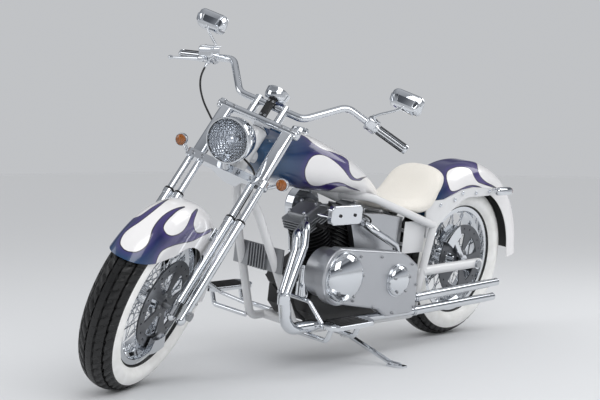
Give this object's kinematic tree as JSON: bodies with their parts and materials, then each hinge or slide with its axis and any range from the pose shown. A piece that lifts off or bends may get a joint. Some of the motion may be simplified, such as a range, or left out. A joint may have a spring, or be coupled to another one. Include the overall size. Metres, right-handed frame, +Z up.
{
  "type": "chopper motorcycle",
  "caption": "Custom two-wheeled cruiser with raked twin-tube fork, wire wheels, solo saddle and flame-painted tank and fenders, leaning on its side stand.",
  "frame": {"origin": "on the floor at the middle of the parked machine's bounding box", "axes": "+X forward along the machine, +Y to its left, +Z up from the floor"},
  "size_m": [2.3682, 0.8429, 1.2594],
  "materials": {
    "frame_powder": "silver-white powder coat",
    "flame_paint": "gloss white with deep blue ground under clear coat",
    "seat_leather": "smooth ivory",
    "engine_black": "black",
    "chrome": "polished",
    "satin_silver": "satin",
    "cast_alloy": "as cast",
    "steel": "brushed",
    "black_rubber": "matte",
    "tyre_rubber": "black with wide white wall",
    "lamp_glass": "clear"
  },
  "bodies": {
    "frame": {"frame": "frame_powder", "swingarm": "frame_powder", "rear_axle": "steel", "rear_caliper": "chrome", "fuel_tank": "flame_paint", "fuel_cap": "chrome", "seat": "seat_leather", "rear_fender": "flame_paint", "fender_struts": "frame_powder", "rear_lamps": "chrome", "crankcase": "engine_black", "cylinders": "engine_black", "cylinder_heads": "cast_alloy", "air_cleaner": "chrome", "drive_cover": "satin_silver", "cover_domes": "chrome", "timing_cover": "chrome", "coil_cover": "chrome", "oil_tank": "satin_silver", "side_panels": "frame_powder", "oil_filter": "engine_black", "regulator": "cast_alloy", "starter_motor": "chrome", "exhaust_headers": "chrome", "mufflers": "chrome", "final_belt": "black_rubber", "floorboards": "chrome", "brake_pedal": "chrome"},
    "steering": {"steering_stem": "chrome", "upper_clamp": "chrome", "fork_tubes": "chrome", "fork_sliders": "chrome", "front_axle": "steel", "front_fender": "flame_paint", "headlamp_shell": "chrome", "headlamp_lens": "lamp_glass", "front_signals": "chrome", "handlebar": "chrome", "grips": "black_rubber", "speedometer": "chrome", "mirrors": "chrome", "hand_controls": "chrome", "front_caliper": "chrome", "brake_hose": "black_rubber"},
    "front_wheel": {"front_tyre": "tyre_rubber", "front_rim": "chrome", "front_hub": "chrome", "front_disc": "steel"},
    "rear_wheel": {"rear_tyre": "tyre_rubber", "rear_rim": "chrome", "rear_hub": "chrome", "rear_disc": "steel", "rear_pulley": "steel"},
    "side_stand": {"side_stand": "chrome"}
  },
  "joints": [
    {"name": "steer", "type": "hinge", "parent": "frame", "child": "steering", "pos_m": [0.54114, -0.01327, 0.67911], "axis": [-0.5888, 0.1204, 0.7993], "range_deg": [-50, 0]},
    {"name": "front_wheel_spin", "type": "hinge", "parent": "steering", "child": "front_wheel", "pos_m": [0.88126, -0.04651, 0.29909], "axis": [-0.3424, 0.8586, -0.3815], "continuous": true},
    {"name": "rear_wheel_spin", "type": "hinge", "parent": "frame", "child": "rear_wheel", "pos_m": [-0.77435, -0.0684, 0.32218], "axis": [-0.0009, 0.9888, -0.1495], "continuous": true},
    {"name": "stand_fold", "type": "hinge", "parent": "frame", "child": "side_stand", "pos_m": [-0.00565, 0.02721, 0.09392], "axis": [-0.0026, 0.3384, 0.941], "range_deg": [0, 89.1]}
  ]
}
